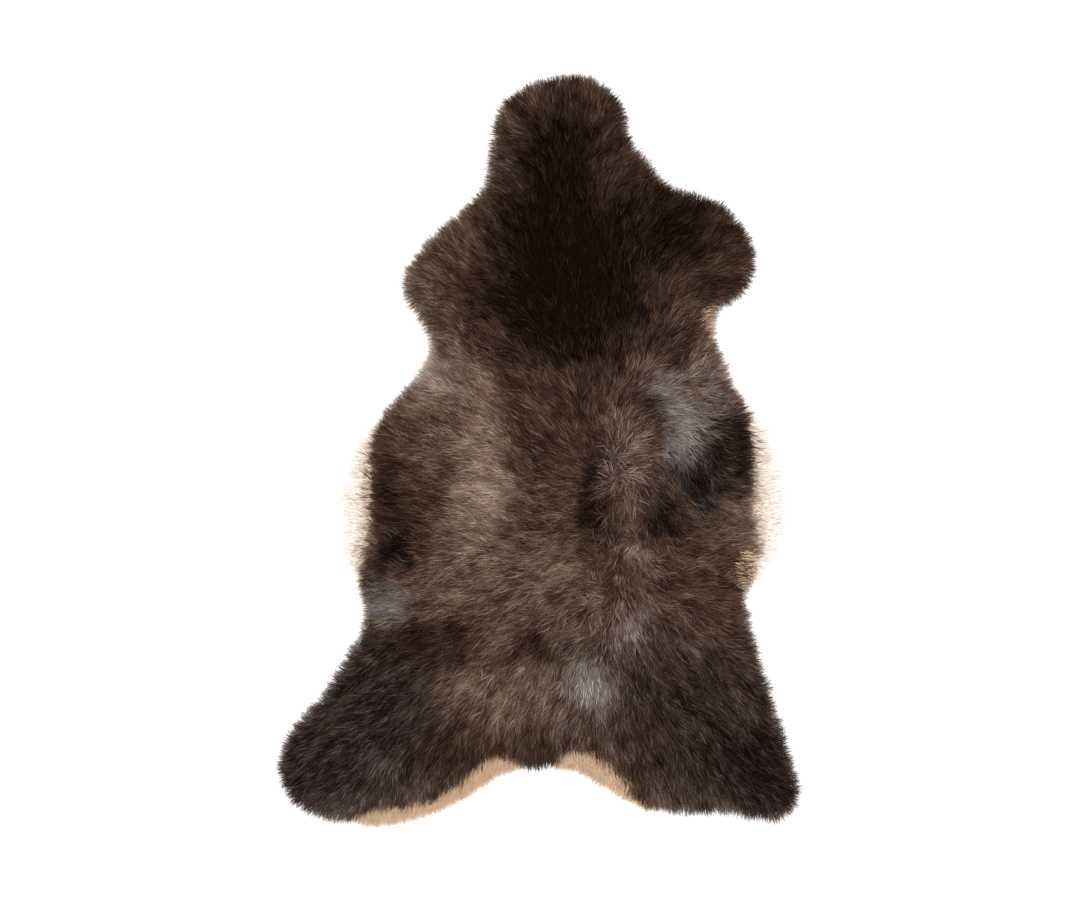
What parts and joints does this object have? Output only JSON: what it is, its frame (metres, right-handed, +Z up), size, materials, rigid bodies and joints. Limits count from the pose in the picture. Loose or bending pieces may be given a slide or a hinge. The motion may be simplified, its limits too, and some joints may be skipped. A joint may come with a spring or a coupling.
{
  "type": "lambskin",
  "caption": "Whole dark brown lambskin with its wool on, lying flat with the wool up: a soft rug or throw for a floor, chair or bench.",
  "frame": {"origin": "middle of the outline, on the surface that the skin lies on", "axes": "+Y along the back towards the head end, +X across to the right foreleg as seen from above, +Z up out of the wool"},
  "size_m": [0.6634, 0.9484, 0.0562],
  "materials": {
    "dark_wool": "dense combed wool, espresso brown with taupe and grey patches, cream at the belly and tan at the crotch",
    "skin": "tanned suede skin side, pale tan"
  },
  "bodies": {
    "root": {"lambskin": "dark_wool"}
  },
  "joints": []
}
